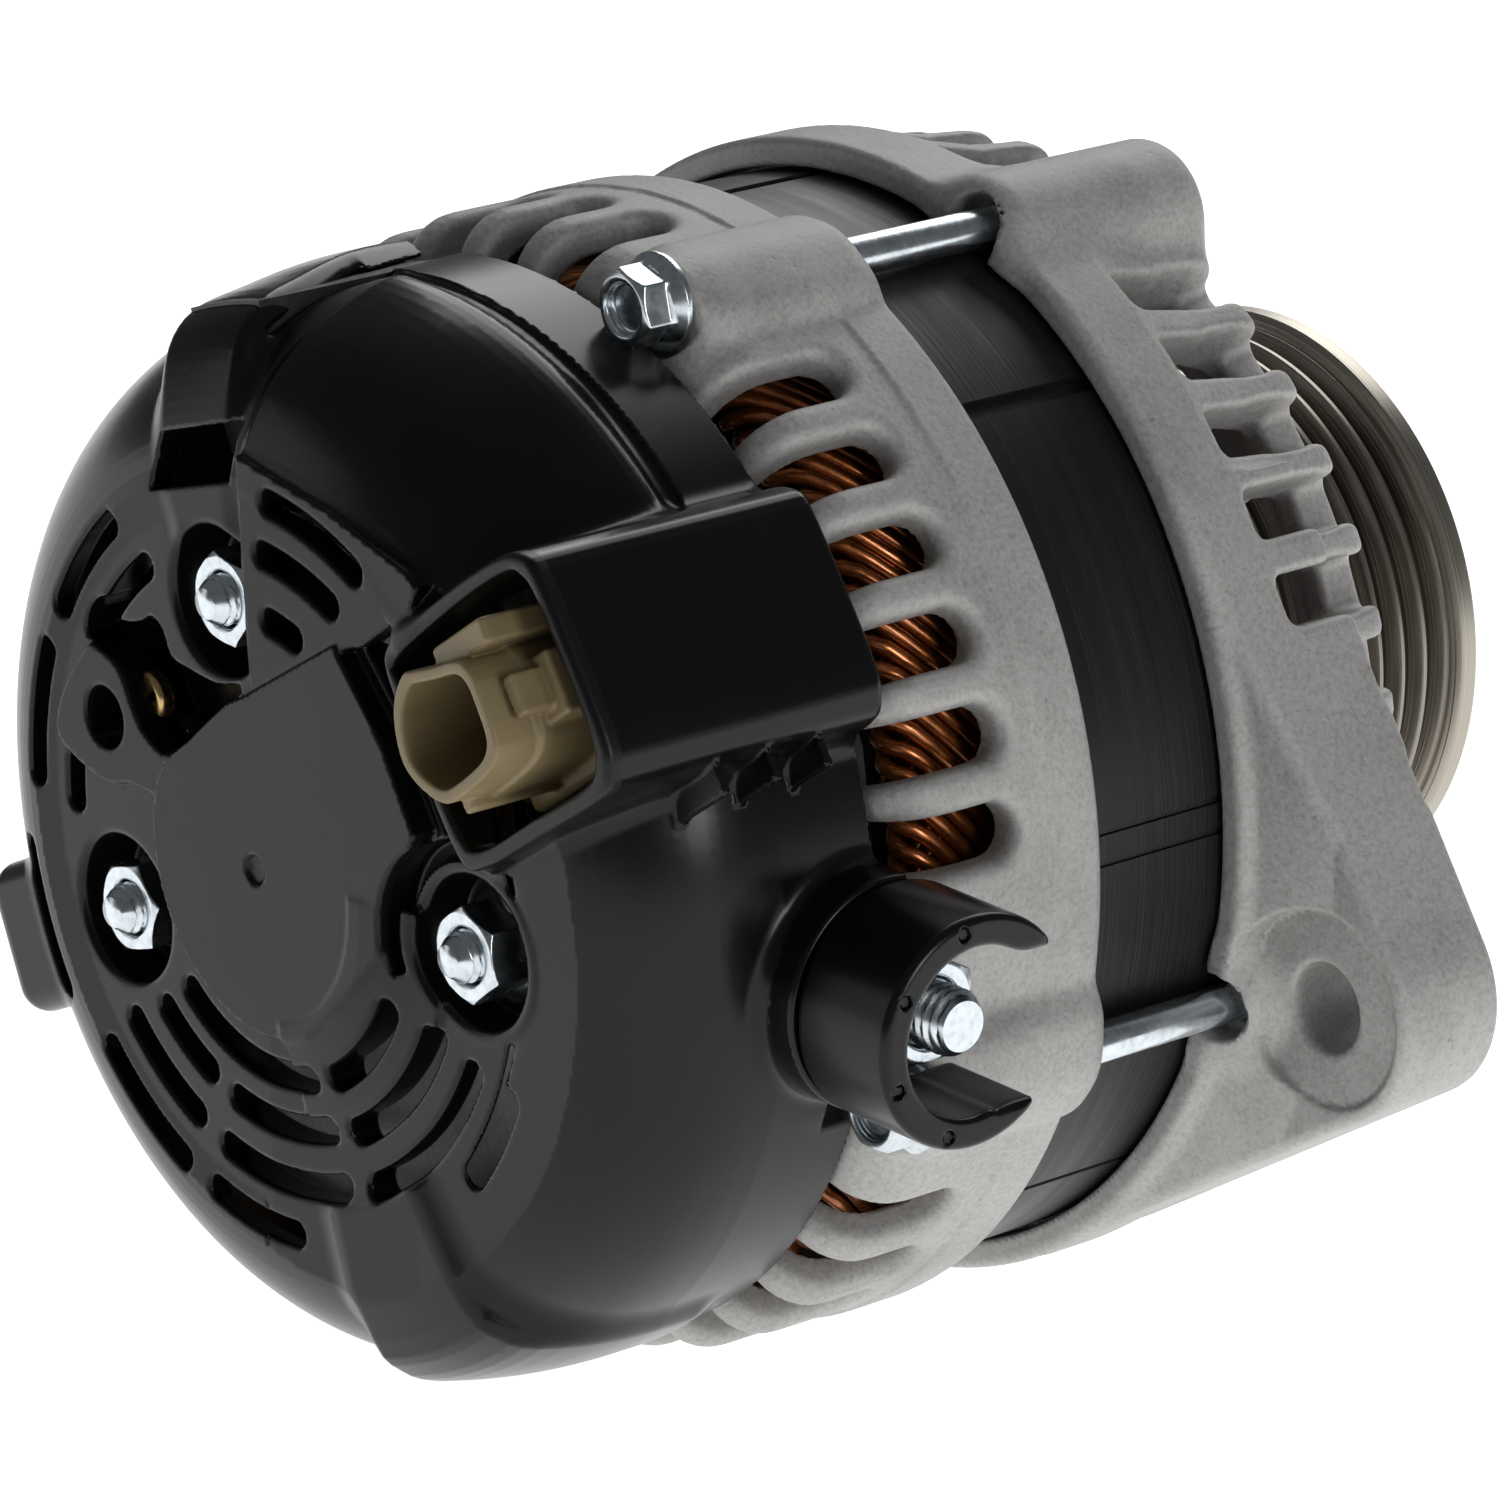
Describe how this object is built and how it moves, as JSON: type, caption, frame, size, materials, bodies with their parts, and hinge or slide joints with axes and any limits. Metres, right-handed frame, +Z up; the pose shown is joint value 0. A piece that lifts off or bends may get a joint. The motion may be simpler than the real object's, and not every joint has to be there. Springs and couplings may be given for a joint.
{
  "type": "automotive alternator",
  "caption": "Belt-driven car alternator: ribbed cast housings, stator stack, claw-pole rotor, grooved pulley, moulded rear cover with connector hood and output terminal.",
  "frame": {"origin": "centre of the shaft's flat front end, on the pulley side", "axes": "+Y along the shaft, out of the pulley end; -Y towards the rear cover; +Z up as the object is shown, with the mounting ear on the +X side"},
  "size_m": [0.1582, 0.161, 0.1368],
  "materials": {
    "cast_aluminium": "sand-textured die casting, satin",
    "black_plastic": "glossy moulded, lightly scratched",
    "lamination_steel": "dark varnished lamination edges",
    "zinc_steel": "bright blue zinc",
    "copper_wire": "enamelled copper wire, gloss",
    "beige_plastic": "matt moulded",
    "turned_steel": "turned, light oil",
    "bearing_steel": "ground",
    "brass_contact": "bright",
    "carbon_brush": "matt pressed graphite",
    "dark_resin": "matt moulded resin",
    "forged_steel": "forged and machined"
  },
  "bodies": {
    "housing": {"front_housing": "cast_aluminium", "rear_housing": "cast_aluminium", "rectifier_plate_negative": "cast_aluminium", "rectifier_plate_positive": "cast_aluminium", "rear_cover": "black_plastic", "terminal_sleeve": "black_plastic", "stator_core": "lamination_steel", "stator_winding_front": "copper_wire", "stator_winding_rear": "copper_wire", "through_bolt_1": "zinc_steel", "through_bolt_2": "zinc_steel", "through_bolt_3": "zinc_steel", "through_bolt_4": "zinc_steel", "cover_stud_1": "zinc_steel", "cover_nut_1": "zinc_steel", "connector_pin_1": "brass_contact", "cover_stud_2": "zinc_steel", "cover_nut_2": "zinc_steel", "connector_pin_2": "brass_contact", "cover_stud_3": "zinc_steel", "cover_nut_3": "zinc_steel", "connector_pin_3": "brass_contact", "connector_housing": "beige_plastic", "terminal_stud": "zinc_steel", "terminal_washer": "zinc_steel", "terminal_nut": "zinc_steel", "bearing_retainer": "zinc_steel", "brush_spring_1": "zinc_steel", "brush_spring_2": "zinc_steel", "terminal_post": "brass_contact", "rectifier_diode_1": "dark_resin", "rectifier_diode_2": "dark_resin", "rectifier_diode_3": "dark_resin", "rectifier_diode_4": "dark_resin", "rectifier_diode_5": "dark_resin", "rectifier_diode_6": "dark_resin", "voltage_regulator": "dark_resin", "brush_holder": "dark_resin", "front_bearing_outer": "bearing_steel", "rear_bearing_outer": "bearing_steel"},
    "rotor": {"shaft": "bearing_steel", "pulley": "turned_steel", "pulley_nut": "zinc_steel", "spacer_collar": "bearing_steel", "claw_pole_front": "forged_steel", "claw_pole_rear": "forged_steel", "field_coil": "copper_wire", "front_fan": "zinc_steel", "rear_fan": "zinc_steel", "slip_ring_core": "dark_resin", "slip_ring_1": "brass_contact", "slip_ring_2": "brass_contact", "front_bearing_inner": "bearing_steel", "rear_bearing_inner": "bearing_steel"},
    "front_ball_ring": {"front_bearing_balls": "bearing_steel"},
    "rear_ball_ring": {"rear_bearing_balls": "bearing_steel"},
    "brush_a": {"brush_1": "carbon_brush"},
    "brush_b": {"brush_2": "carbon_brush"}
  },
  "joints": [
    {"name": "rotor_spin", "type": "hinge", "parent": "housing", "child": "rotor", "pos_m": [0, 0, 0], "axis": [0, 1, 0], "continuous": true},
    {"name": "front_balls_roll", "type": "hinge", "parent": "housing", "child": "front_ball_ring", "pos_m": [0, -0.04085, 0], "axis": [0, 1, 0], "continuous": true},
    {"name": "rear_balls_roll", "type": "hinge", "parent": "housing", "child": "rear_ball_ring", "pos_m": [0, -0.1151, 0], "axis": [0, 1, 0], "continuous": true},
    {"name": "brush_1_slide", "type": "slide", "parent": "housing", "child": "brush_a", "axis": [0, 0, 1], "range_m": [0, 0.005], "stiffness_N_per_m": 150, "springref_m": -0.012, "deforming": ["brush_spring_1"]},
    {"name": "brush_2_slide", "type": "slide", "parent": "housing", "child": "brush_b", "axis": [0, 0, 1], "range_m": [0, 0.005], "stiffness_N_per_m": 150, "springref_m": -0.012, "deforming": ["brush_spring_2"]}
  ],
  "couplings": [
    {"joint": "front_balls_roll", "follows": "rotor_spin", "ratio": 0.3953},
    {"joint": "rear_balls_roll", "follows": "rotor_spin", "ratio": 0.4032}
  ]
}
